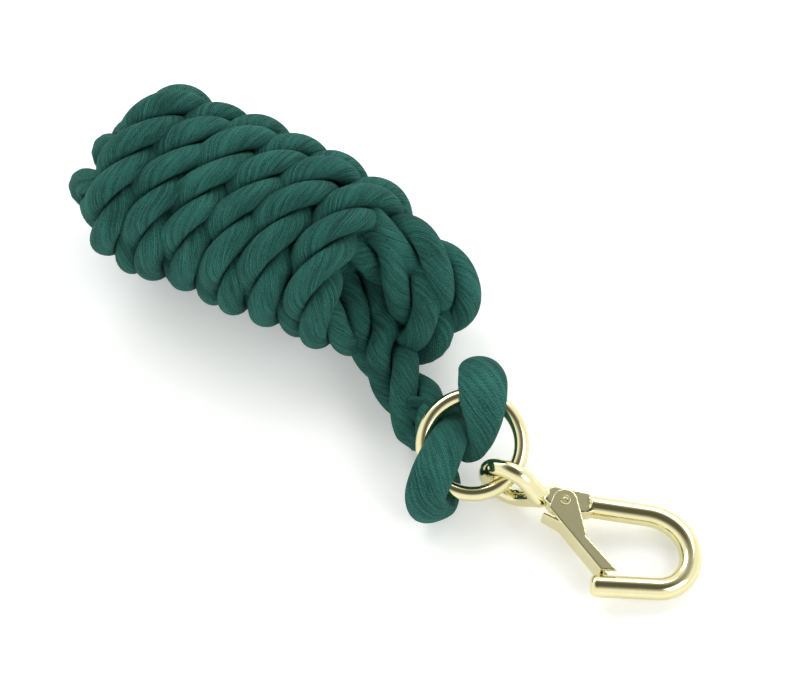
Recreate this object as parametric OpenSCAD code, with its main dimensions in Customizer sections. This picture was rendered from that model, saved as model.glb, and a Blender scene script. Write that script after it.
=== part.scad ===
// Lead rope for a horse: a three-strand rope gathered into a wrapped hank, its short lead spliced
// round a steel ring, and a bull snap with a spring gate hanging on the ring.
// Millimetres, +Z up. The hank lies along X and the snap points towards +X. The origin is on the
// ground, under the middle of the whole object.

/* [Rope] */
// Diameter of the rope where nothing squeezes it
rope_d = 25; // [18:1:26]
// Thickness of one strand where it is bent round the ring
eye_strand_d = 10.5; // [8:0.5:10.5]

/* [Hank] */
// Number of turns wrapped round the hank
wraps = 6; // [5:1:7]
// Distance along the hank from one turn to the next
wrap_pitch = 20; // [19:0.5:21]
// Width of the hank across the turns
hank_w = 82; // [78:1:86]
// Height of the hank
hank_h = 68; // [64:1:72]

/* [Ring] */
// Diameter of the circle that the ring's wire follows
ring_d = 41; // [40:0.5:42]
// Thickness of the ring's wire
ring_wire = 6.4; // [6:0.1:6.4]
// Lean of the ring away from lying flat, in degrees
ring_lean = 30; // [28:1:32]

/* [Snap] */
// Thickness of the hook's wire
hook_wire = 9.5; // [9:0.1:9.8]
// Thickness of the wire round the eye
eye_wire = 7.6; // [7:0.1:7.8]
// Diameter of the circle that the eye's wire follows
eye_d = 20.6; // [20:0.1:21]
// Angle of the straight bar from the snap's long axis, in degrees
bar_angle = 20; // [19:1:21]
// Angle of the straight nose from the snap's long axis, in degrees
nose_angle = 26; // [25:1:27]
// Thickness of the flat part that the gate turns on
flat_t = 7.4; // [7:0.1:7.4]

/* [Gate] */
// Height of the folded channel, outside
gate_h = 11; // [10.8:0.1:11.4]
// Thickness of the gate's sheet
gate_sheet = 1.5; // [1.3:0.1:1.6]
// Angle of the gate from the snap's long axis, in degrees
gate_angle = 26; // [25:1:27]
// Distance of the gate's back wall from the rivet's axis
gate_back = 7.5; // [7.3:0.1:7.8]
// Diameter of the rivet's shank
rivet_d = 3.2; // [3:0.1:3.4]

/* [Hidden] */

// gaps between pieces that move on each other
gap = 0.35;
rivet_gap = 0.06;

// colours
rope_colour = [0.13, 0.36, 0.31];
brass_colour = [0.78, 0.72, 0.52];

// the middle of the whole object, in the coordinates that follow
middle = [6.7, 1.9, 0];

// hank
hank_len = wraps * wrap_pitch;
hank_x0 = -133;
hank_y = 26;
hank_z = hank_h / 2;

// ring: centre, turn about Z and lean
ring_at = [54.3, -26, 23];
ring_turn = 25.4;
ring_r = ring_d / 2;

// snap: its own frame has the rivet's axis along Z through the origin, the long axis along X
// towards the bend and the bar on the +Y side
eye_x = -24.5;
eye_y = -1.5;
neck_x = -10.2;
neck_y = -0.9;
neck_wire = 9.2;
bar_from = 2;
bar_to = 35;
bar_shift = 1.25;
bend_r = [22, 18, 14];
bend_turn = [30, 70, 80 + bar_angle - nose_angle];
nose_len = 28;
nose_round = 2.6;
snap_turn = -1;
snap_x = 98.3;
snap_y = -30.1;

// the snap rests on its eye and on the far side of its bend
bend_x = 58.6;
snap_tilt = asin((eye_d / 2 + eye_wire / 2 - hook_wire / 2) / (bend_x - eye_x));
snap_z = hook_wire / 2 + bend_x * sin(snap_tilt);

// gate: where its back wall starts along it, and the coil behind it
gate_top = -1.5;
spring_d = 4.2;
spring_wire = 0.7;
spring_len = 3.9;

// lead: from inside the hank, along the ground, to just short of the ring
lead_route = [[-26, 22, 16], [-16, 15, 15], [-7.5, 8.3, 16], [-1.3, 2.2, 14.5], [8.7, -4.2, 13.5],
              [18.8, -11.7, 13.5], [25, -16.8, 13]];

// strands at the ring, in the ring's own frame: across, up the lean, out of its plane
upper_route = [[-30, 16, -12], [-20, 10, -13], [-8, 1.5, -11], [-1, -3, -7], [2, 0, 0], [4.5, 8, 8],
               [4.5, 18, 11], [4, 27, 7.5], [2.5, 31, -1], [1.5, 27, -9], [-2, 17, -13], [-9, 9, -14],
               [-20, 6, -13]];
lower_route = [[-28, 8, -13], [-21, 1, -13], [-14, -7, -12], [-11, -15, -10], [-12.5, -23, -7.2],
               [-15, -27, -2.5], [-18.5, -26.5, 4], [-19.5, -20.5, 9.5], [-17, -13, 11], [-13, -4, 9.5],
               [-9.5, 4, 3], [-9, 10, -6.5], [-14, 15, -12], [-27, 18, -12]];

// ---- curves and tubes ------------------------------------------------------------------------

// point at parameter t on the smooth curve through four neighbouring points
function spline(a, b, c, d, t) =
    0.5 * (2 * b + (c - a) * t + (2 * a - 5 * b + 4 * c - d) * t * t + (3 * b - a - 3 * c + d) * t * t * t);

// a route's points with steps - 1 more between each two
function smooth(r, steps) = [
    for (i = [0 : len(r) - 2])
        for (k = [0 : steps - 1])
            spline(r[max(i - 1, 0)], r[i], r[i + 1], r[min(i + 2, len(r) - 1)], k / steps),
    r[len(r) - 1]];

function unit(v) = v / norm(v);

// direction of a route at point i
function heading(r, i) = unit(r[min(i + 1, len(r) - 1)] - r[max(i - 1, 0)]);

// a side direction carried along the route without turning about it
function sides(r, i, side, done) =
    i == len(r) ? done :
    let (h = heading(r, i), s = unit(side - (side * h) * h)) sides(r, i + 1, s, concat(done, [s]));

// closed tube of diameter d along route r
module tube(r, d, n = 12) {
    s = sides(r, 0, cross(heading(r, 0), [0.3, 0.2, 1]), []);
    rings = [for (i = [0 : len(r) - 1]) let (h = heading(r, i), u = s[i], v = cross(h, u))
        for (k = [0 : n - 1]) r[i] + d / 2 * (cos(360 * k / n) * u + sin(360 * k / n) * v)];
    last = (len(r) - 1) * n;
    polyhedron(rings, concat(
        [[for (k = [0 : n - 1]) k]],
        [for (i = [0 : len(r) - 2]) for (k = [0 : n - 1])
            [i * n + k, i * n + n + k, i * n + n + (k + 1) % n, i * n + (k + 1) % n]],
        [[for (k = [n - 1 : -1 : 0]) last + k]]));
}

// ---- rope --------------------------------------------------------------------------------------

// the hank's outline across X, drawn smaller for the rounded ends
module hank_slice(x, inset) {
    translate([x, hank_y, hank_z]) rotate([90, 0, 90])
        linear_extrude(0.5) resize([hank_w - 2 * inset, hank_h - 2 * inset]) circle(r = 40, $fn = 32);
}

// one fold of rope standing out of the hank, round the given points
module fold(points, d) {
    hull() for (p = points) translate(p) sphere(d = d, $fn = 16);
}

module rope_hank() {
    color(rope_colour) translate(-middle) union() {
        hull() {
            hank_slice(hank_x0, 12);
            hank_slice(hank_x0 + 10, 0);
            hank_slice(hank_x0 + hank_len - 10, 0);
            hank_slice(hank_x0 + hank_len, 12);
        }
        fold([[-24, 22, 38], [2, 22, 34], [8, 20, 24], [2, 15, 14], [-24, 18, 14]], rope_d);
        fold([[-24, 38, 42], [4, 42, 36], [14, 39, 27], [6, 34, 16], [-24, 34, 16]], rope_d);
        fold([[-130, 14, 32], [-137, 15, 28], [-130, 16, 24]], rope_d - 3);
        fold([[-130, 33, 38], [-137, 33, 34], [-130, 34, 28]], rope_d - 3);
    }
}

module rope_lead() {
    color(rope_colour) translate(-middle) tube(smooth(lead_route, 2), rope_d);
}

// places its children in the ring's frame
module at_ring() {
    translate(ring_at - middle) rotate([ring_lean, 0, ring_turn]) children();
}

module eye_strand_upper() {
    color(rope_colour) at_ring() tube(smooth(upper_route, 3), eye_strand_d, 10);
}

module eye_strand_lower() {
    color(rope_colour) at_ring() tube(smooth(lower_route, 3), eye_strand_d, 10);
}

// ---- ring ----------------------------------------------------------------------------------------

module ring() {
    color(brass_colour) at_ring()
        rotate_extrude($fn = 96) translate([ring_r, 0]) circle(d = ring_wire, $fn = 32);
}

// ---- snap ----------------------------------------------------------------------------------------

// places its children in the snap's frame
module at_snap() {
    translate([snap_x, snap_y, snap_z] - middle) rotate([0, snap_tilt, snap_turn]) children();
}

// a round wire from the origin along X
module wire(length, d = hook_wire) {
    rotate([0, 90, 0]) cylinder(d = d, h = length, $fn = 48);
}

// a wire bent to the right by turn degrees, starting at the origin along X, and what follows it;
// a core reaches across the joint with what comes before
module bend(r, turn, d = hook_wire) {
    translate([-1, 0, 0]) wire(2, d - 1);
    translate([0, -r, 0]) {
        rotate([0, 0, 90 - turn])
            rotate_extrude(angle = turn, $fn = 96) translate([r, 0]) circle(d = d, $fn = 48);
        rotate([0, 0, -turn]) translate([0, r, 0]) children();
    }
}

// the nose: a straight wire with a rounded end
module nose() {
    translate([-1, 0, 0]) wire(2, hook_wire - 1);
    rotate([0, 90, 0]) rotate_extrude($fn = 48) {
        square([hook_wire / 2, nose_len - nose_round]);
        square([hook_wire / 2 - nose_round, nose_len]);
        intersection() {
            translate([hook_wire / 2 - nose_round, nose_len - nose_round]) circle(r = nose_round, $fn = 48);
            square([hook_wire / 2, nose_len]);
        }
    }
}

// the wire of the hook, from the flat to the nose
module hook() {
    rotate([0, 0, bar_angle]) translate([bar_from, bar_shift, 0]) {
        wire(bar_to - bar_from);
        translate([bar_to - bar_from, 0, 0])
            bend(bend_r[0], bend_turn[0]) bend(bend_r[1], bend_turn[1]) bend(bend_r[2], bend_turn[2]) nose();
    }
}

// outline of the flat between the gate's cheeks, and of the room that it needs in the bar
module flat_outline() {
    hull() {
        translate([-4.5, 0.8]) circle(r = 4.6, $fn = 48);
        circle(r = 5.2, $fn = 48);
        rotate(bar_angle) translate([9, bar_shift]) circle(r = 4.7, $fn = 48);
    }
}

// the eye: a loop in the XZ plane that is left open towards the flat, two arms that run together
// from its ends, and the neck where they meet; cores reach across the joints
module eye() {
    open = acos(eye_d / 2 / (neck_x - eye_x));
    translate([eye_x, eye_y, 0]) rotate([90, 0, 0]) {
        rotate(open) rotate_extrude(angle = 360 - 2 * open, $fn = 96)
            translate([eye_d / 2, 0]) circle(d = eye_wire, $fn = 40);
        for (side = [-1, 1]) rotate(side * open) translate([eye_d / 2, 0, 0]) {
            rotate([side * 90, 0, 0])
                cylinder(d1 = eye_wire, d2 = neck_wire - 0.6, h = eye_d / 2 * tan(open), $fn = 40);
            sphere(d = eye_wire - 0.6, $fn = 40);
        }
    }
    translate([neck_x, neck_y, 0]) sphere(d = neck_wire, $fn = 48);
    translate([neck_x, neck_y + 0.6, 0]) wire(6, flat_t - 0.8);
}

module snap_body() {
    color(brass_colour) at_snap() difference() {
        union() {
            eye();
            translate([0, 0, -flat_t / 2]) linear_extrude(flat_t) flat_outline();
            difference() {
                hook();
                for (side = [-1, 1]) scale([1, 1, side])
                    translate([0, 0, flat_t / 2]) cylinder(r = 11, h = 5, $fn = 64);
            }
        }
        translate([0, 0, -10]) cylinder(d = rivet_d + 2 * rivet_gap, h = 20, $fn = 48);
    }
}

// ---- gate ----------------------------------------------------------------------------------------

// places its children in the gate's frame: X along the gate, Y towards the inside of the hook
module at_gate() {
    at_snap() rotate([0, 0, -gate_angle]) children();
}

// the cheek's outline, with the back wall along y = -gate_back
module cheek_outline() {
    hull() {
        circle(r = 5.2, $fn = 48);
        translate([gate_top, -gate_back]) square([11, 1]);
        translate([16, -3.6]) circle(r = 1.8, $fn = 24);
    }
    polygon([[gate_top, -gate_back], [50, -gate_back], [50, -1.4], [15, -3.2]]);
}

// the lip that a thumb pushes: the back wall's upper end, bent outwards
module thumb_lip() {
    hull() {
        translate([gate_top + 9, -gate_back + 0.8, 0])
            cylinder(d = 1.5, h = gate_h - 1, center = true, $fn = 24);
        translate([gate_top + 0.8, -gate_back - 2.8, 0])
            cylinder(d = 1.5, h = gate_h - 2.5, center = true, $fn = 24);
    }
}

module gate() {
    inside_y = -gate_back + gate_sheet;
    color(brass_colour) at_gate() difference() {
        union() {
            translate([0, 0, -gate_h / 2]) linear_extrude(gate_h) cheek_outline();
            thumb_lip();
        }
        // the channel
        translate([-20, inside_y, -gate_h / 2 + gate_sheet]) cube([80, 30, gate_h - 2 * gate_sheet]);
        // the rivet's hole
        translate([0, 0, -10]) cylinder(d = rivet_d, h = 20, $fn = 48);
        // the end, cut along the nose
        rotate([0, 0, gate_angle]) nose_side() translate([-60, 0, -20]) cube([100, 60, 40]);
    }
}

// end of the bar and of each bend, in the snap's frame, for the line that the gate closes on
function turned(v, a) = [v[0] * cos(a) - v[1] * sin(a), v[0] * sin(a) + v[1] * cos(a)];
function after_bend(p, a, r, turn) = p + turned([r * sin(turn), -r * (1 - cos(turn))], a);
bar_end = turned([bar_to, bar_shift], bar_angle);
bend_1 = after_bend(bar_end, bar_angle, bend_r[0], bend_turn[0]);
bend_2 = after_bend(bend_1, bar_angle - bend_turn[0], bend_r[1], bend_turn[1]);
nose_root = after_bend(bend_2, bar_angle - bend_turn[0] - bend_turn[1], bend_r[2], bend_turn[2]);

// places its children with X along the nose and Y away from the hook's inside, starting just clear of it
module nose_side() {
    translate([nose_root[0], nose_root[1], 0]) rotate([0, 0, 180 + nose_angle])
        translate([0, -hook_wire / 2 - gap, 0]) children();
}

module gate_rivet() {
    color(brass_colour) at_gate() {
        translate([0, 0, -gate_h / 2]) cylinder(d = rivet_d, h = gate_h, $fn = 48);
        for (side = [0, 180]) rotate([side, 0, 0]) translate([0, 0, gate_h / 2])
            rotate_extrude($fn = 48)
                polygon([[0, 0], [2.2, 0], [2.2, 0.3], [1.9, 0.6], [1.2, 0.6], [0.8, 0.25], [0, 0.25]]);
    }
}

// the small coil that pushes the gate shut, between the flat's edge and the back wall
module gate_spring() {
    turns = 3;
    n = 36;
    color("silver") at_gate()
        translate([8.5, -gate_back + gate_sheet + spring_wire / 2, 0]) rotate([-90, 0, 0])
            tube([for (i = [0 : n]) [(spring_d - spring_wire) / 2 * cos(360 * turns * i / n),
                                     (spring_d - spring_wire) / 2 * sin(360 * turns * i / n),
                                     (spring_len - spring_wire) * i / n]], spring_wire, 8);
}

rope_hank();
rope_lead();
eye_strand_upper();
eye_strand_lower();
ring();
snap_body();
gate();
gate_rivet();
gate_spring();
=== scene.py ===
# %% [markdown]
# # A lead rope, put up as a hank
#
# A horse's lead rope is three soft cotton strands laid together. Its end is spliced round a loose
# ring, and a bull snap hangs on the ring. When it isn't in use, the rope is folded into a few runs
# and the rest is wrapped round them, which makes the hank that this lesson builds.
#
# The design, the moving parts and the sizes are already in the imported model. This script adds what
# the eye needs: the laid strands, the yarns in them, the plating and the light.

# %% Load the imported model
import math

import bpy
import numpy as np
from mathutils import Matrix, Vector


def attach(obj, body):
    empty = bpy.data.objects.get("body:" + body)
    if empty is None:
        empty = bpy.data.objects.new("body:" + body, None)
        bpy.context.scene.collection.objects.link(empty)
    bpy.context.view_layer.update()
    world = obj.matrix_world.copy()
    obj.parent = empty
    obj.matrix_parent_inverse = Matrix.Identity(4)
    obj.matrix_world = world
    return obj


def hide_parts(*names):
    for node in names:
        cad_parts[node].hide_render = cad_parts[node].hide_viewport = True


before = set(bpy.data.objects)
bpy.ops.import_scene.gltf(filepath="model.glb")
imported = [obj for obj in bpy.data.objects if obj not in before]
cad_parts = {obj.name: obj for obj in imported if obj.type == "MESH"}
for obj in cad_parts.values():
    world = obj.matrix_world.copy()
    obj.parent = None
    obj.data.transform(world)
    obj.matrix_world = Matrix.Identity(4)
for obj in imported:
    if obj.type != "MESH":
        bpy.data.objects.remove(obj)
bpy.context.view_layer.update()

print("nodes:", sorted(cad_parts))

# %% [markdown]
# ## The camera
#
# The rope lies on a table and is seen from above and in front, so the camera looks down steeply. A
# long lens from three metres away keeps the near and the far end at nearly the same scale, as a
# maker's catalogue does. The camera comes first because the lay below asks which way faces it.

# %% Camera
VIEW_TURN = math.radians(25.4)
VIEW_HEIGHT = math.radians(60)
VIEW_DISTANCE = 3.0
FRAME_WIDTH = 0.336
AIM = Vector((-0.0012, 0.0046, 0.020))

towards_camera = Vector((
    math.sin(VIEW_TURN) * math.cos(VIEW_HEIGHT),
    -math.cos(VIEW_TURN) * math.cos(VIEW_HEIGHT),
    math.sin(VIEW_HEIGHT),
))
camera_data = bpy.data.cameras.new("camera")
camera_data.lens = camera_data.sensor_width * VIEW_DISTANCE / FRAME_WIDTH
camera = bpy.data.objects.new("camera", camera_data)
camera.location = AIM + towards_camera * VIEW_DISTANCE
camera.rotation_euler = towards_camera.to_track_quat("Z", "Y").to_euler()
bpy.context.scene.collection.objects.link(camera)
bpy.context.scene.camera = camera
print("lens:", round(camera_data.lens, 1), "mm")

# %% [markdown]
# ## Curves as arrays
#
# Every soft piece here is a section carried along a line. The line starts as a few given points.
# A cubic through them makes it smooth, and even steps along it make every ring of faces the
# same length, so that a pattern keeps its scale.

# %% Helpers for lines
MM = 0.001
MIDDLE = np.array([6.7, 1.9, 0])


def place(points):
    """Points in the design's own millimetres, moved to the middle of the object, in metres."""
    return (np.asarray(points, float) - MIDDLE) * MM


def run_length(line):
    """Distance along the line at each of its points: the running sum of the steps' lengths."""
    steps = np.linalg.norm(np.diff(line, axis=0), axis=1)
    return np.concatenate([[0], np.cumsum(steps)])


def evenly(line, count):
    """count points at even distances along the line."""
    run = run_length(line)
    at = np.linspace(0, run[-1], count)
    return np.stack([np.interp(at, run, line[:, k]) for k in range(3)], 1)


def smooth_line(points, count):
    """A cubic through each two points, whose slope at a point is that of the parabola through the
    point and its neighbours, cut into count even steps."""
    points = np.asarray(points, float)
    knots = run_length(points)
    slopes = np.gradient(points, knots, axis=0)
    at = np.linspace(0, knots[-1], 6 * count)
    i = np.clip(np.searchsorted(knots, at, side="right") - 1, 0, len(knots) - 2)
    width = (knots[i + 1] - knots[i])[:, None]
    t = (at - knots[i])[:, None] / width
    fine = ((2 * t**3 - 3 * t**2 + 1) * points[i] + (t**3 - 2 * t**2 + t) * width * slopes[i]
            + (3 * t**2 - 2 * t**3) * points[i + 1] + (t**3 - t**2) * width * slopes[i + 1])
    return evenly(fine, count)


# how many of its own widths the bell below reaches to each side
BELL_END = 2.5


def soften(values, reach):
    """Each row becomes the bell-weighted mean of the rows within reach of it; the ends stay."""
    bell = np.exp(-0.5 * np.linspace(-BELL_END, BELL_END, 2 * reach + 1) ** 2)
    bell /= bell.sum()
    columns = np.asarray(values, float).reshape(len(values), -1)
    # an odd reflection about each end keeps the ends where they are
    before = 2 * columns[0] - columns[reach:0:-1]
    after = 2 * columns[-1] - columns[-2:-reach - 2:-1]
    padded = np.concatenate([before, columns, after])
    mean = np.stack([np.convolve(padded[:, k], bell, "valid") for k in range(columns.shape[1])], 1)
    return mean.reshape(np.shape(values))


def unit(vectors):
    """Each vector divided by its length."""
    return vectors / np.linalg.norm(vectors, axis=-1, keepdims=True)


def step(low, high, x):
    """0 below low, 1 above high, and three t squared less two t cubed between them."""
    t = np.clip((x - low) / (high - low), 0, 1)
    return t * t * (3 - 2 * t)


def carried_sides(line, start):
    """Two directions across the line that don't turn about it: each ring's side is the last one,
    less its part along the line's heading. The other is heading cross side."""
    heading = unit(np.gradient(line, axis=0))
    side = np.empty_like(line)
    last = np.asarray(start, float)
    for i, h in enumerate(heading):
        last = unit(last - (last @ h) * h)
        side[i] = last
    return heading, side, np.cross(heading, side)


# %% [markdown]
# ## A mesh from grids
#
# A strand is a grid: one row for each step along it, one column for each point round it. The grid
# closes on itself round the strand, and a point at each end closes the ends. The UV map keeps the
# place round the strand in U and the metres along it in V, so the yarns can follow the strand
# wherever it goes.

# %% Helper that turns grids into one object
def grids_to_object(name, grids, along):
    """Joins grids of shape (rows, columns, 3) into one object. A face's corners are the grid's
    points (i, j), (i, j+1), (i+1, j+1) and (i+1, j), and its U is (j or j+1) / columns plus the
    grid's number."""
    points, quads, tris, quad_uv, tri_uv = [], [], [], [], []
    offset = 0
    for number, grid in enumerate(grids):
        rows, columns = grid.shape[:2]
        i, j = np.meshgrid(np.arange(rows - 1), np.arange(columns), indexing="ij")
        i, j = i.ravel(), j.ravel()
        turn = (j + 1) % columns
        low, high = offset + i * columns, offset + (i + 1) * columns
        quads.append(np.stack([low + j, low + turn, high + turn, high + j], 1))
        u0, u1 = number + j / columns, number + (j + 1) / columns
        v0, v1 = along[i], along[i + 1]
        quad_uv.append(np.stack([u0, v0, u1, v0, u1, v1, u0, v1], 1).reshape(-1, 2))
        points.append(grid.reshape(-1, 3))
        first, last = offset + rows * columns, offset + rows * columns + 1
        points.append(np.stack([grid[0].mean(0), grid[-1].mean(0)]))
        k = np.arange(columns)
        k1 = (k + 1) % columns
        end = offset + (rows - 1) * columns
        tris.append(np.stack([np.full(columns, first), offset + k1, offset + k], 1))
        tris.append(np.stack([np.full(columns, last), end + k, end + k1], 1))
        for row in (0, -1):
            uv = np.stack([number + k / columns, np.full(columns, along[row])], 1)
            tri_uv.append(np.repeat(uv, 3, axis=0))
        offset = last + 1
    mesh = bpy.data.meshes.new(name)
    faces = np.concatenate(quads).tolist() + np.concatenate(tris).tolist()
    mesh.from_pydata(np.concatenate(points), [], faces)
    mesh.uv_layers.new(name="lay").data.foreach_set(
        "uv", np.concatenate(quad_uv + tri_uv).ravel())
    mesh.polygons.foreach_set("use_smooth", np.ones(len(faces), bool))
    mesh.update()
    made = bpy.data.objects.new(name, mesh)
    bpy.context.scene.collection.objects.link(made)
    print(name, "has", len(mesh.polygons), "faces")
    return made


# %% [markdown]
# ## The rope's line
#
# The rope starts at the splice under the ring, runs along the ground as the lead, and goes into the
# hank. Inside, it goes to and fro five times, with a fold at each end. Then it comes out at the
# left and is wrapped round the runs six times, and its end is tucked in under the last turn.
#
# The folds are listed points. The turns follow a rule: an ellipse round the hank that moves
# along it, and leans, because the hand that wraps it pulls each turn to one side.

# %% The lead and the runs inside the hank
LEAD_ROUTE = [(35, -25, 10), (29.4, -20.3, 12), (18.8, -11.7, 13.5), (8.7, -4.2, 13.5),
              (-1.3, 2.2, 14.5), (-7.5, 8.3, 18), (-20, 13.5, 23)]
FRONT_FOLDS = [
    (-32, 14, 25), (-60, 14, 26), (-90, 14, 26), (-120, 12, 26), (-134, 11, 26),
    (-141, 11.5, 32), (-135, 13, 39), (-120, 16, 42), (-90, 16, 42), (-60, 17, 42.5),
    (-34, 26, 43), (-15, 31, 43), (-1, 25.7, 37), (8.5, 20.8, 28), (11.8, 15.4, 18),
    (5, 15, 13.5), (-8, 20, 18), (-24, 25, 27)]
BACK_FOLDS = [
    (-50, 26, 30), (-90, 26.5, 30), (-116, 28, 29.5), (-132, 31, 29), (-140, 33, 34),
    (-134, 34.5, 41), (-117, 36, 43), (-90, 36, 42), (-50, 36, 42), (-24, 37, 44),
    (-2, 37.7, 44), (10.3, 35.5, 39), (17.5, 33.2, 28), (14, 33, 17.5), (2, 34, 14),
    (-12, 36, 20), (-30, 37, 26), (-60, 37, 26), (-95, 37.5, 26), (-110, 39, 24.5),
    (-120, 43.5, 22.5), (-123, 50.5, 22.5), (-121, 55, 26)]
TAIL = [(-8, 43, 14), (-14, 47, 21), (-26, 43, 28), (-42, 36, 34), (-56, 32, 36)]

# %% The turns round the hank
TURN_PITCH = 20
FIRST_TURN_X = -123.1
FIRST_TURN_ANGLE = 120
TURN_HALF_WIDTH = 30.5
TURN_HALF_HEIGHT = 23.5
HANK_Y = 26
HANK_Z = 34
LEAN = 9.5
LEAN_FROM = 45
FIRST_ANGLE = -10
LAST_ANGLE = 5 * 360 + 285
# how far each turn has slipped along the hank, in millimetres
SLIP = [5.8, 3.4, 0.8, -0.5, -3.8, -1.6]
# how far each turn stands out at the back, away from the eye, in millimetres
REACH = [4.2, 2.4, 3.8, 2.4, 2.0, -2.0]
REACH_AT = 27
SLIP_AT = 100


def turn_points(angle):
    """Points of the turns at angles round the hank in degrees, from +Y towards +Z. Across the hank
    they are an ellipse that stands out by the turn's reach, times a squared cosine, at the back.
    Along it they are the pitch's share of the angle, plus a cosine for the lean, plus the turn's
    own slip."""
    a = np.radians(angle)
    slip = np.interp(angle, SLIP_AT + 360 * np.arange(len(SLIP)), SLIP)
    reach = np.interp(angle, REACH_AT + 360 * np.arange(len(REACH)), REACH)
    reach *= np.maximum(np.cos(a - math.radians(REACH_AT)), 0) ** 2
    x = FIRST_TURN_X + TURN_PITCH * (angle - FIRST_TURN_ANGLE) / 360
    x = x + LEAN * np.cos(a + math.radians(LEAN_FROM)) + slip
    return np.stack([x, HANK_Y + (TURN_HALF_WIDTH + reach) * np.cos(a),
                     HANK_Z + (TURN_HALF_HEIGHT + reach) * np.sin(a)], 1)


ANGLE_STEP = 15.0
turns = turn_points(np.arange(FIRST_ANGLE, LAST_ANGLE + 1, ANGLE_STEP))

# how many rings of points the rope has, and how many on each side a mean is taken over
RINGS = 1340
LINE_REACH = 4
rope_points = place(np.concatenate([LEAD_ROUTE, FRONT_FOLDS, BACK_FOLDS, turns, TAIL]))
rope_line = soften(smooth_line(rope_points, RINGS), LINE_REACH)
rope_line = evenly(rope_line, RINGS)
rope_run = run_length(rope_line)


def nearest_ring(points):
    """For each point in the design's millimetres, the number of the line's ring nearest to it."""
    gaps = np.linalg.norm(rope_line[None] - place(points)[:, None], axis=2)
    return gaps.argmin(1)


# %% [markdown]
# ## The lay
#
# The three strands wind round the line in a right-handed helix. A real rope's lay is loose where it
# bends, so the twist isn't perfectly even. Here it is set where it shows most: at some places along
# the rope a strand stands uppermost, and between those places the twist runs evenly, by the whole
# number of strands that comes nearest to the rope's usual lay.

# %% Twist along the rope
STRANDS = 3
LAY = 0.066
TWIST_REACH = 11
# angles round the hank where a strand stands uppermost, two for each turn
TOPS_ON_TURNS = [(82, 187), (96, 163), (93, 159), (99, 173), (81, 164), (93, 169)]
# and places on the lead and the two folds at the right
TOPS_ON_LEAD = [(17.5, -10.7, 13.5), (-1.3, 2.2, 14.5)]
TOPS_ON_FOLDS = [(-9, 29, 41), (9, 20, 26), (7, 36.2, 40.5)]

heading, side, over = carried_sides(rope_line, (0, 0, 1))
turn_tops = turn_points(np.concatenate(
    [360 * k + np.array(pair, float) for k, pair in enumerate(TOPS_ON_TURNS)]))
top_rings = np.sort(nearest_ring(np.concatenate([TOPS_ON_LEAD, TOPS_ON_FOLDS, turn_tops])))

# the direction that counts as uppermost, as an angle in each ring's own two directions
up = np.array(towards_camera)
up_angle = np.arctan2(over @ up, side @ up)[top_rings]
spacing = 2 * math.pi / STRANDS
wanted = np.diff(rope_run[top_rings]) * 2 * math.pi / LAY
whole = np.round((wanted - np.diff(up_angle)) / spacing)
turned = np.cumsum(whole * spacing + np.diff(up_angle))
twist_at_tops = up_angle[0] + np.concatenate([[0], turned])
twist = np.interp(rope_run, rope_run[top_rings], twist_at_tops)
before, after = top_rings[0], top_rings[-1]
twist[:before] = twist[before] - (rope_run[before] - rope_run[:before]) * 2 * math.pi / LAY
twist[after:] = twist[after] + (rope_run[after:] - rope_run[after]) * 2 * math.pi / LAY
twist = soften(twist, TWIST_REACH)
lay_here = 2 * math.pi * np.gradient(rope_run) / np.gradient(twist)
print("lay from", round(lay_here.min() * 1000, 1), "to", round(lay_here.max() * 1000, 1), "mm")

# %% [markdown]
# ## The three strands
#
# Across the rope, each strand is a circle that bulges outwards and is flat where it meets the other
# two. In polar form about the strand's centre, its radius is the smaller of the circle's radius and
# the distance to the flat. Taking a high power mean instead of the plain smaller one rounds the
# corner between them, as soft cotton does.
#
# Where turns press on each other the whole rope flattens, and inside the hank it is squeezed more.

# %% Sections of the strands
STRAND_R = 6.7 * MM
STRAND_OUT = 6.1 * MM
COLUMNS = 24
CORNER_POWER = 7
# half the angle between two strands, the direction that a flat faces, and the gap between flats
HALF_SPACING = math.radians(60)
FLAT_TOWARDS = math.radians(150)
FLAT_GAP = 0.05 * MM
LEAST_FACING = 0.05
# 1 would space the columns evenly; less puts more of them on the outside, where they show
EVENNESS = 0.75

t = -1 + 2 * np.arange(COLUMNS) / COLUMNS
around = math.pi * (EVENNESS * t + (1 - EVENNESS) * t**3)
flat_distance = STRAND_OUT * math.sin(HALF_SPACING) - FLAT_GAP
facing_flat = np.maximum(np.cos(np.abs(around) - FLAT_TOWARDS), LEAST_FACING)
to_flat = flat_distance / facing_flat
section = (STRAND_R**-CORNER_POWER + to_flat**-CORNER_POWER)**(-1 / CORNER_POWER)

# the rings, counted from the first and the last turn, over which the wrapping comes and goes
WRAP_COMES = (-16, 16)
WRAP_GOES = (-11, 13)
# the places along the hank, in millimetres, over which its inside and its left end begin
INSIDE_FROM_RIGHT = (-34, -52)
INSIDE_FROM_LEFT = (-124, -112)
LEFT_END_FROM = (-112, -126)

# where the rope is a turn of the wrapping, and where it is inside the hank
turns_from, turns_to = nearest_ring(turns[[0, -1]])
ring_number = np.arange(RINGS)
wrapped = step(*WRAP_COMES, ring_number - turns_from)
wrapped *= 1 - step(*WRAP_GOES, ring_number - turns_to)
x_mm = rope_line[:, 0] / MM + MIDDLE[0]
inside = step(*INSIDE_FROM_RIGHT, x_mm) * step(*INSIDE_FROM_LEFT, x_mm) * (1 - wrapped)
left_end = step(*LEFT_END_FROM, x_mm) * (1 - wrapped)

# the rope's size in each place, where 1 is the free rope's. Inside the hank it is drawn thinner
# than a real rope can be pressed, so that five runs fit under the turns, where they don't show
ACROSS_TURN = 0.98
OUT_OF_TURN = 0.88
SQUEEZE_INSIDE = 0.58
SQUEEZE_AT_LEFT = 0.9
END_SIZE = 0.8
# the length over which the rope's end reaches its full size, in metres
TAPER = 0.008

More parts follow.
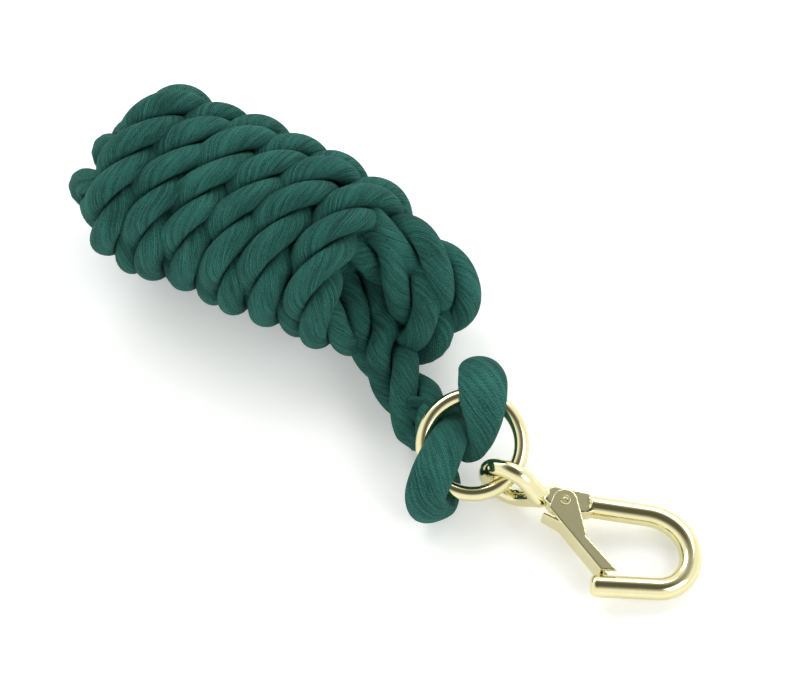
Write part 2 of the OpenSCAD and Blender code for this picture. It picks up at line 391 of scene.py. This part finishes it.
size = 1 - (1 - SQUEEZE_INSIDE) * inside
size *= 1 - (1 - SQUEEZE_AT_LEFT) * left_end
size *= END_SIZE + (1 - END_SIZE) * step(0, TAPER, rope_run)


def swell(run, strand):
    """A strand's thickness goes up and down by a few per cent along it: two sines of different
    lengths, shifted for each strand."""
    slow = 0.025 * np.sin(run / 0.037 + 2.1 * strand)
    quick = 0.02 * np.sin(run / 0.0139 + 1.3 * strand)
    return 1 + slow + quick


def strand_grid(strand):
    """The strand's centre goes round the line at STRAND_OUT, at the twist plus a third of a turn
    for each strand, and its section stands on the outward direction there."""
    angle = twist + strand * spacing
    out = np.cos(angle)[:, None] * side + np.sin(angle)[:, None] * over
    beside = np.cross(heading, out)
    radius = section[None, :] * swell(rope_run, strand)[:, None]
    offset = ((STRAND_OUT + radius * np.cos(around))[..., None] * out[:, None]
              + (radius * np.sin(around))[..., None] * beside[:, None])
    return offset * size[:, None, None]


def pressed(offset):
    """Flattens a turn across its width, along the hank, and outwards, at right angles to that."""
    along_hank = np.array([1.0, 0, 0])
    outwards = unit(np.cross(heading, along_hank) + 1e-9)
    width = (offset @ along_hank)[..., None] * along_hank
    height = np.einsum("ijk,ik->ij", offset, outwards)[..., None] * outwards[:, None]
    amount = wrapped[:, None, None]
    return offset - amount * ((1 - ACROSS_TURN) * width + (1 - OUT_OF_TURN) * height)


# %% Make the rope
GROUND = 0.2 * MM
grids = [rope_line[:, None] + pressed(strand_grid(strand)) for strand in range(STRANDS)]
for grid in grids:
    grid[..., 2] = np.maximum(grid[..., 2], GROUND)
rope = grids_to_object("laid_rope", grids, rope_run)

# %% [markdown]
# ## The splice round the ring
#
# At its end the rope is opened, and its strands go round the ring and back under each other. A
# strand on its own is loose, so it spreads: it is wider than it is thick. Both strands are a
# flattened tube along a route that is given in the ring's own directions.

# %% The ring's directions
RING_AT = (54.3, -26, 23)
RING_TURN = math.radians(25.4)
RING_LEAN = math.radians(30)
ring_across = np.array([math.cos(RING_TURN), math.sin(RING_TURN), 0])
ring_up = np.array([-math.sin(RING_TURN) * math.cos(RING_LEAN),
                    math.cos(RING_TURN) * math.cos(RING_LEAN), math.sin(RING_LEAN)])
ring_out = np.cross(ring_across, ring_up)


def from_ring(points):
    """Across, up the lean and out of the ring's plane, in millimetres, to the row's metres."""
    return place(np.asarray(points, float) @ np.stack([ring_across, ring_up, ring_out]) + RING_AT)


# %% The two strands
UPPER_ROUTE = [(-30, 16, -12), (-20, 10, -13), (-8, 1.5, -11), (-1, -3, -7), (2, 0, 0),
               (4.5, 8, 8), (4.5, 18, 11), (4, 27, 7.5), (2.5, 31, -1), (1.5, 27, -9),
               (-2, 17, -13), (-9, 9, -14), (-20, 6, -13)]
UPPER_WIDTH = [5, 7, 9, 10, 10.5, 13, 19, 21, 17, 14, 10, 7, 5]
UPPER_THICKNESS = [5, 7, 9, 9, 9.5, 11, 12.5, 13, 12, 10, 8, 7, 5]
LOWER_ROUTE = [(-28, 8, -13), (-21, 1, -13), (-14, -7, -12), (-11, -15, -10),
               (-12.5, -23, -7.2), (-15, -27, -2.5), (-18.5, -26.5, 4), (-19.5, -20.5, 9.5),
               (-17, -13, 11), (-13, -4, 9.5), (-9.5, 4, 3), (-9, 10, -6.5), (-14, 15, -12),
               (-27, 18, -12)]
LOWER_WIDTH = [5, 7, 9, 12, 14, 16, 17, 18, 18, 17, 14, 10, 6, 5]
LOWER_THICKNESS = [5, 7, 8, 9, 9.5, 10, 10, 10, 10, 10, 9, 8, 6, 5]
STRAND_ROWS = 220
STRAND_COLUMNS = 48
WIDTH_REACH = 8


def loose_strand(name, route, width, thickness):
    """A tube with an oval section. Its width lies along the ring's across direction, or up the lean
    where the strand itself runs across, less the part along the strand's heading."""
    line = soften(smooth_line(from_ring(route), STRAND_ROWS), LINE_REACH)
    along = run_length(line)
    headed = unit(np.gradient(line, axis=0))
    number = np.arange(len(route))
    knots = np.interp(np.linspace(0, 1, STRAND_ROWS), np.linspace(0, 1, len(route)), number)
    half_width = soften(np.interp(knots, number, width), WIDTH_REACH) * MM / 2
    half_thickness = soften(np.interp(knots, number, thickness), WIDTH_REACH) * MM / 2
    lies_across = (headed @ ring_across)[:, None] ** 2
    raw = (1 - lies_across) * ring_across + lies_across * ring_up
    wide = unit(raw - np.sum(raw * headed, 1)[:, None] * headed)
    thick = np.cross(headed, wide)
    angle = 2 * math.pi * np.arange(STRAND_COLUMNS) / STRAND_COLUMNS
    grid = (line[:, None] + (half_width[:, None] * np.cos(angle))[..., None] * wide[:, None]
            + (half_thickness[:, None] * np.sin(angle))[..., None] * thick[:, None])
    grid[..., 2] = np.maximum(grid[..., 2], GROUND)
    return grids_to_object(name, [grid], along)


upper_strand = loose_strand("upper_strand", UPPER_ROUTE, UPPER_WIDTH, UPPER_THICKNESS)
lower_strand = loose_strand("lower_strand", LOWER_ROUTE, LOWER_WIDTH, LOWER_THICKNESS)

# %% [markdown]
# ## What the soft pieces are
#
# The rope and the splice's two strands each ride on the rope's body and stand for the plain solids
# of the imported model, which are hidden.

for piece in (rope, upper_strand, lower_strand):
    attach(piece, "rope")
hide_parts("rope_hank", "rope_lead")
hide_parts("eye_strand_upper")
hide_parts("eye_strand_lower")

# %% [markdown]
# ## Helpers for materials
#
# A material is a small graph of nodes. Two helpers keep the graphs short to read.

# %% Node helpers
def add(tree, kind, values=None, **settings):
    """Adds a node, sets its settings by name and its unlinked sockets from values."""
    node = tree.nodes.new(kind)
    for key, value in settings.items():
        setattr(node, key, value)
    for socket, value in (values or {}).items():
        node.inputs[socket].default_value = value
    return node


def maths(tree, operation, first, second=None):
    """One sum on two sockets or numbers; returns the result's socket."""
    node = add(tree, "ShaderNodeMath", operation=operation)
    for index, value in enumerate((first, second)):
        if value is None:
            continue
        if isinstance(value, bpy.types.NodeSocket):
            tree.links.new(value, node.inputs[index])
        else:
            node.inputs[index].default_value = value
    return node.outputs[0]


def new_group(name, inputs, outputs):
    """An empty node group with float inputs, given as name: value, and the named outputs."""
    tree = bpy.data.node_groups.new(name, "ShaderNodeTree")
    for label, value in inputs.items():
        kind = "NodeSocketVector" if value is None else "NodeSocketFloat"
        socket = tree.interface.new_socket(label, in_out="INPUT", socket_type=kind)
        if value is not None:
            socket.default_value = value
    for label in outputs:
        tree.interface.new_socket(label, in_out="OUTPUT", socket_type="NodeSocketFloat")
    return tree, tree.nodes.new("NodeGroupInput"), tree.nodes.new("NodeGroupOutput")


def new_material(name):
    """A material with its Principled shader; returns the material, its tree and the shader."""
    material = bpy.data.materials.new(name)
    material.use_nodes = True
    tree = material.node_tree
    return material, tree, tree.nodes["Principled BSDF"]


# %% [markdown]
# ## Yarns
#
# A strand is itself twisted from yarns about half a millimetre thick, the other way from the
# rope's lay. So on the outside of the rope the yarns run nearly along it. The group counts yarns
# from the UV map: the number of yarns round the strand times U, plus their slope times V. The
# whole part of that number tells the yarns apart, and the rest is the place across one yarn.

# %% Yarn group
def make_yarn_group():
    """Height is a ridge for each yarn plus fibres drawn out along it. Shade is a tint for each yarn
    that wanders along it, plus the ridge as painted shade: darker in the grooves between yarns and
    lighter on their crests. Fibre is the fine streak alone."""
    tree, entry, leave = new_group("yarns", {"Vector": None, "Yarns": 30, "Slope": 860},
                                   ("Height", "Shade", "Fibre"))
    split = add(tree, "ShaderNodeSeparateXYZ")
    tree.links.new(entry.outputs["Vector"], split.inputs[0])
    waver = add(tree, "ShaderNodeTexNoise", {"Scale": 90.0, "Detail": 2.0})
    tree.links.new(entry.outputs["Vector"], waver.inputs["Vector"])
    count = maths(tree, "ADD", maths(tree, "MULTIPLY", split.outputs["X"], entry.outputs["Yarns"]),
                  maths(tree, "MULTIPLY", split.outputs["Y"], entry.outputs["Slope"]))
    count = maths(tree, "ADD", count, maths(tree, "MULTIPLY", waver.outputs["Fac"], 1.6))
    across = maths(tree, "FRACT", count)
    centred = maths(tree, "SUBTRACT", across, 0.5)
    ridge = maths(tree, "SUBTRACT", 1.0, maths(tree, "MULTIPLY", maths(tree, "POWER",
                  maths(tree, "ABSOLUTE", centred), 2.0), 4.0))
    streaks = add(tree, "ShaderNodeCombineXYZ")
    tree.links.new(maths(tree, "MULTIPLY", count, 3.1), streaks.inputs["X"])
    tree.links.new(maths(tree, "MULTIPLY", split.outputs["Y"], 130.0), streaks.inputs["Y"])
    fibre = add(tree, "ShaderNodeTexNoise", {"Scale": 1.0, "Detail": 4.0, "Roughness": 0.7})
    tree.links.new(streaks.outputs[0], fibre.inputs["Vector"])
    yarn = add(tree, "ShaderNodeCombineXYZ")
    tree.links.new(maths(tree, "MULTIPLY", maths(tree, "FLOOR", count), 5.7), yarn.inputs["X"])
    tree.links.new(maths(tree, "MULTIPLY", split.outputs["Y"], 60.0), yarn.inputs["Y"])
    tint = add(tree, "ShaderNodeTexNoise", {"Scale": 1.0, "Detail": 1.0})
    tree.links.new(yarn.outputs[0], tint.inputs["Vector"])
    height = maths(tree, "ADD", maths(tree, "MULTIPLY", ridge, 0.45),
                   maths(tree, "MULTIPLY", fibre.outputs["Fac"], 0.75))
    # the ridge in this sum is painted shade, darker in the grooves between yarns and lighter on
    # crests
    shade = maths(tree, "ADD", maths(tree, "MULTIPLY", tint.outputs["Fac"], 0.5),
                  maths(tree, "MULTIPLY", ridge, 0.25))
    tree.links.new(height, leave.inputs["Height"])
    tree.links.new(shade, leave.inputs["Shade"])
    tree.links.new(fibre.outputs["Fac"], leave.inputs["Fibre"])
    return tree


yarn_group = make_yarn_group()

# %% [markdown]
# ## Dyed cotton
#
# Spun cotton is matt with a soft sheen from its loose fibres. The dye takes unevenly: each yarn is
# a little lighter or darker, and larger clouds run over the whole rope. Painted shade makes the
# grooves between the yarns darker, and painted light makes their crests lighter. The same cotton is
# used twice, with the yarns' slope of a laid strand and that of an open one.

# %% Cotton material
# the ramp's dark end is dark dye and also painted shade in the grooves between yarns; its light end
# is light dye and also painted light on the yarns' crests
DEEP_DYE_AND_GROOVE_SHADE = (0.002, 0.020, 0.018, 1)
MAIN_DYE = (0.010, 0.098, 0.078, 1)
PALE_DYE_AND_CREST_LIGHT = (0.050, 0.260, 0.210, 1)


def make_cotton(name, yarns, slope):
    """Base colour goes from dark to light dye with the yarn's tint and its painted groove shade, its
    fibres, wide clouds and fine lint; the yarn's height, with a little of the lint, is a bump."""
    material, tree, shader = new_material(name)
    place_uv = add(tree, "ShaderNodeUVMap", uv_map="lay")
    yarn = add(tree, "ShaderNodeGroup", node_tree=yarn_group)
    yarn.inputs["Yarns"].default_value = yarns
    yarn.inputs["Slope"].default_value = slope
    tree.links.new(place_uv.outputs[0], yarn.inputs["Vector"])
    where = add(tree, "ShaderNodeTexCoord")
    clouds = add(tree, "ShaderNodeTexNoise", {"Scale": 38.0, "Detail": 3.0})
    tree.links.new(where.outputs["Object"], clouds.inputs["Vector"])
    lint = add(tree, "ShaderNodeTexNoise", {"Scale": 1500.0, "Detail": 3.0, "Roughness": 0.75})
    tree.links.new(where.outputs["Object"], lint.inputs["Vector"])
    # the yarn's Shade output brings its tint and the painted shade of the grooves between yarns
    mixed = maths(tree, "ADD", maths(tree, "MULTIPLY", yarn.outputs["Shade"], 0.8),
                  maths(tree, "MULTIPLY", yarn.outputs["Fibre"], 0.5))
    mixed = maths(tree, "ADD", mixed, maths(tree, "MULTIPLY", clouds.outputs["Fac"], 0.2))
    mixed = maths(tree, "ADD", mixed, maths(tree, "MULTIPLY", lint.outputs["Fac"], 0.4))
    ramp = add(tree, "ShaderNodeValToRGB")
    ramp.color_ramp.elements[0].position = 0.66
    ramp.color_ramp.elements[0].color = DEEP_DYE_AND_GROOVE_SHADE
    ramp.color_ramp.elements[1].position = 1.02
    ramp.color_ramp.elements[1].color = PALE_DYE_AND_CREST_LIGHT
    ramp.color_ramp.elements.new(0.86).color = MAIN_DYE
    tree.links.new(mixed, ramp.inputs["Fac"])
    tree.links.new(ramp.outputs["Color"], shader.inputs["Base Color"])
    height = maths(tree, "ADD", yarn.outputs["Height"],
                   maths(tree, "MULTIPLY", lint.outputs["Fac"], 0.5))
    bump = add(tree, "ShaderNodeBump", {"Strength": 1.0, "Distance": 0.0019})
    tree.links.new(height, bump.inputs["Height"])
    tree.links.new(bump.outputs["Normal"], shader.inputs["Normal"])
    shader.inputs["Roughness"].default_value = 0.9
    shader.inputs["Specular IOR Level"].default_value = 0.25
    shader.inputs["Sheen Weight"].default_value = 0.2
    shader.inputs["Sheen Roughness"].default_value = 0.45
    shader.inputs["Sheen Tint"].default_value = (0.15, 0.65, 0.52, 1)
    return material


# the slope is the number of yarns divided by the length, in metres, in which they go round once
rope.data.materials.append(make_cotton("cotton_laid", yarns=46, slope=46 / 0.026))
open_cotton = make_cotton("cotton_open", yarns=58, slope=58 / 0.060)
for piece in (upper_strand, lower_strand):
    piece.data.materials.append(open_cotton)

# %% [markdown]
# ## Handling marks
#
# Polished plating isn't perfect. It carries faint clouds from the polishing wheel and fine
# scratches from use. Both metals use this group.

# %% Handling group
def make_handling_group():
    """Marks is a cloud. Scratch is thin scratches, the narrow bright band of a stretched noise."""
    tree, entry, leave = new_group("handling", {"Vector": None, "Amount": 1.0},
                                   ("Marks", "Scratch"))
    clouds = add(tree, "ShaderNodeTexNoise", {"Scale": 160.0, "Detail": 3.0})
    tree.links.new(entry.outputs["Vector"], clouds.inputs["Vector"])
    drawn = add(tree, "ShaderNodeMapping")
    drawn.inputs["Scale"].default_value = (120.0, 900.0, 900.0)
    drawn.inputs["Rotation"].default_value = (0.3, 0.5, 0.7)
    tree.links.new(entry.outputs["Vector"], drawn.inputs["Vector"])
    lines = add(tree, "ShaderNodeTexNoise", {"Scale": 1.0, "Detail": 2.0})
    tree.links.new(drawn.outputs[0], lines.inputs["Vector"])
    band = maths(tree, "GREATER_THAN", lines.outputs["Fac"], 0.68)
    tree.links.new(maths(tree, "MULTIPLY", clouds.outputs["Fac"], entry.outputs["Amount"]),
                   leave.inputs["Marks"])
    tree.links.new(maths(tree, "MULTIPLY", band, entry.outputs["Amount"]), leave.inputs["Scratch"])
    return tree


handling_group = make_handling_group()

# %% [markdown]
# ## Metals
#
# The ring and the snap are steel with a thin, pale brass plating, polished bright. The plating is a
# mirror that shows the table as light edges and the dark ceiling as stripes, so the look comes from
# what stands round it as much as from its colour.

# %% Metal materials
def make_metal(name, colour, worn_colour, roughness, amount):
    """Metallic, its colour between two tints and its roughness raised by the handling marks."""
    material, tree, shader = new_material(name)
    where = add(tree, "ShaderNodeTexCoord")
    handling = add(tree, "ShaderNodeGroup", node_tree=handling_group)
    handling.inputs["Amount"].default_value = amount
    tree.links.new(where.outputs["Object"], handling.inputs["Vector"])
    tint = add(tree, "ShaderNodeMix", data_type="RGBA")
    tint.inputs["A"].default_value = colour
    tint.inputs["B"].default_value = worn_colour
    tree.links.new(handling.outputs["Marks"], tint.inputs["Factor"])
    tree.links.new(tint.outputs["Result"], shader.inputs["Base Color"])
    rough = maths(tree, "ADD", maths(tree, "MULTIPLY", handling.outputs["Marks"], 0.10),
                  maths(tree, "MULTIPLY", handling.outputs["Scratch"], 0.06))
    tree.links.new(maths(tree, "ADD", rough, roughness), shader.inputs["Roughness"])
    shader.inputs["Metallic"].default_value = 1.0
    return material


plating = make_metal("pale_brass_plating", colour=(0.80, 0.745, 0.46, 1),
                     worn_colour=(0.72, 0.66, 0.38, 1), roughness=0.05, amount=1.0)
spring_steel = make_metal("spring_steel", colour=(0.62, 0.61, 0.57, 1),
                          worn_colour=(0.50, 0.49, 0.46, 1), roughness=0.18, amount=1.0)


def paint_node(node, material):
    """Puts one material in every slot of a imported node."""
    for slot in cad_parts[node].material_slots:
        slot.material = material


for node in ("ring", "snap_body", "gate", "gate_rivet"):
    paint_node(node, plating)
paint_node("gate_spring", spring_steel)

# %% [markdown]
# ## Cast and pressed edges
#
# The snap is cast and its gate is pressed from sheet, and both are tumbled before they are plated.
# No edge on them is sharp, and where the arms of the eye run into the flat they blend. A fine even
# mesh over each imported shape, smoothed a little, gives both at once.

# %% Softened copies
def softened(node, rides_on, voxel, passes):
    """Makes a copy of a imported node, joined up, meshed again in cubes of the voxel's size and
    smoothed: each pass moves a point half of the way to the mean of its neighbours."""
    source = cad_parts[node]
    made = bpy.data.objects.new(node + "_soft", source.data.copy())
    made.data.transform(source.matrix_world)
    bpy.context.scene.collection.objects.link(made)
    merge = made.modifiers.new("merge", "WELD")
    merge.merge_threshold = 0.000005
    again = made.modifiers.new("again", "REMESH")
    again.mode = "VOXEL"
    again.voxel_size = voxel
    again.use_smooth_shade = True
    rounded = made.modifiers.new("rounded", "SMOOTH")
    rounded.factor = 0.5
    rounded.iterations = passes
    graph = bpy.context.evaluated_depsgraph_get()
    mesh = bpy.data.meshes.new_from_object(made.evaluated_get(graph))
    made.modifiers.clear()
    made.data = mesh
    mesh.materials.clear()
    mesh.materials.append(plating)
    mesh.polygons.foreach_set("use_smooth", np.ones(len(mesh.polygons), bool))
    mesh.polygons.foreach_set("material_index", np.zeros(len(mesh.polygons), np.int32))
    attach(made, rides_on)
    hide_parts(node)
    print(made.name, "has", len(mesh.polygons), "faces")


softened("snap_body", "snap", voxel=0.00034, passes=8)
softened("gate", "gate", voxel=0.00024, passes=5)

# %% [markdown]
# ## Table and light
#
# The table is white and the light comes from wide panels at the sides and behind, so the shadows
# are soft and faint. The room is bright towards the horizon and dark overhead, and the dark part
# is what the metal shows as olive stripes.

# %% Table
table_mesh = bpy.data.meshes.new("table")
TABLE_REACH = 3.0
corners = TABLE_REACH * np.array([(-1, -1, 0), (1, -1, 0), (1, 1, 0), (-1, 1, 0)])
table_mesh.from_pydata(corners, [], [(0, 1, 2, 3)])
table = bpy.data.objects.new("table", table_mesh)
bpy.context.scene.collection.objects.link(table)
white, _, white_shader = new_material("white_table")
white_shader.inputs["Base Color"].default_value = (0.92, 0.925, 0.92, 1)
white_shader.inputs["Roughness"].default_value = 0.75
# a light box under the white table keeps the shadows faint
white_shader.inputs["Emission Color"].default_value = (1, 1, 1, 1)
white_shader.inputs["Emission Strength"].default_value = 0.22
table_mesh.materials.append(white)

# %% Lights
def add_panel(name, at, width, power):
    """A square light panel that faces the object's middle."""
    light = bpy.data.lights.new(name, "AREA")
    light.size = width
    light.energy = power
    panel = bpy.data.objects.new(name, light)
    panel.location = at
    panel.rotation_euler = Vector(at).to_track_quat("Z", "Y").to_euler()
    bpy.context.scene.collection.objects.link(panel)


add_panel("left_panel", at=(-1.1, 0.5, 1.0), width=0.9, power=8)
add_panel("back_panel", at=(0.2, 1.3, 1.1), width=1.0, power=7)
add_panel("right_panel", at=(1.2, -0.2, 0.9), width=0.8, power=5)


def make_room():
    """The room's light: dark round one direction overhead, where the ceiling is, and bright towards
    the horizon, by the cosine of the angle from that direction."""
    room = bpy.data.worlds.new("room")
    room.use_nodes = True
    tree = room.node_tree
    where = add(tree, "ShaderNodeTexCoord")
    towards = add(tree, "ShaderNodeVectorMath", operation="DOT_PRODUCT")
    towards.inputs[1].default_value = (0.06, -0.12, 0.99)
    tree.links.new(where.outputs["Generated"], towards.inputs[0])
    ramp = add(tree, "ShaderNodeValToRGB")
    ramp.color_ramp.elements[0].position = 0.62
    ramp.color_ramp.elements[0].color = (0.95, 0.96, 0.95, 1)
    ramp.color_ramp.elements[1].position = 0.93
    ramp.color_ramp.elements[1].color = (0.10, 0.10, 0.08, 1)
    tree.links.new(towards.outputs["Value"], ramp.inputs["Fac"])
    tree.links.new(ramp.outputs["Color"], tree.nodes["Background"].inputs["Color"])
    tree.nodes["Background"].inputs["Strength"].default_value = 1.25
    return room


bpy.context.scene.world = make_room()
bpy.context.scene.view_settings.view_transform = "Standard"
